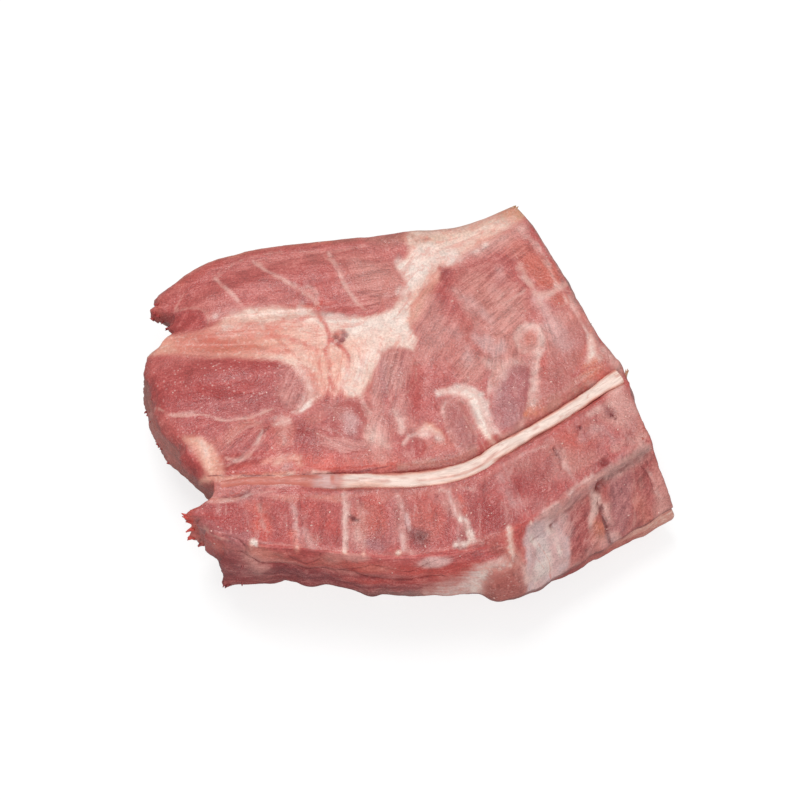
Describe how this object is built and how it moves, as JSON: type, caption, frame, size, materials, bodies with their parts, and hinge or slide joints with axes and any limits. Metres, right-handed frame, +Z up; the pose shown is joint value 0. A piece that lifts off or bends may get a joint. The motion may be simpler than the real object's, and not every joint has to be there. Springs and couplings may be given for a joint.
{
  "type": "bone-in pork collar",
  "caption": "Raw bone-in pork collar: half neck sawn through the spine, lying on its outer side with the vertebrae, nerve strand and fat seam showing on top.",
  "frame": {"origin": "middle of the bounding box at the flat underside that it rests on", "axes": "+X from the head end to the tail end, the longest way; +Y from the throat side to the back; +Z up out of the sawn face, the shortest way"},
  "size_m": [0.3011, 0.2356, 0.0721],
  "materials": {
    "lean_meat": "moist raw meat, satin",
    "fat": "soft cream-pink fat, satin",
    "sawn_bone": "sawn red spongy bone, matte",
    "gristle": "pale disc gristle, satin",
    "nerve": "cream, moist satin",
    "rib_skin": "thin shiny skin over rib, glossy"
  },
  "bodies": {
    "root": {"meat": "lean_meat", "fat_seam": "fat", "fat_patch": "fat", "vertebra_1": "sawn_bone", "vertebra_2": "sawn_bone", "vertebra_3": "sawn_bone", "vertebra_4": "sawn_bone", "vertebra_5": "sawn_bone", "vertebra_6": "sawn_bone", "vertebra_7": "sawn_bone", "vertebra_8": "sawn_bone", "vertebra_9": "sawn_bone", "disc_1": "gristle", "disc_2": "gristle", "disc_3": "gristle", "disc_4": "gristle", "disc_5": "gristle", "disc_6": "gristle", "disc_7": "gristle", "disc_8": "gristle", "arch_end_1": "sawn_bone", "arch_end_2": "sawn_bone", "arch_end_3": "sawn_bone", "arch_end_4": "sawn_bone", "arch_end_5": "sawn_bone", "arch_end_6": "sawn_bone", "nerve_strand": "nerve", "rib_1": "rib_skin", "rib_2": "rib_skin", "rib_3": "rib_skin"}
  },
  "joints": []
}
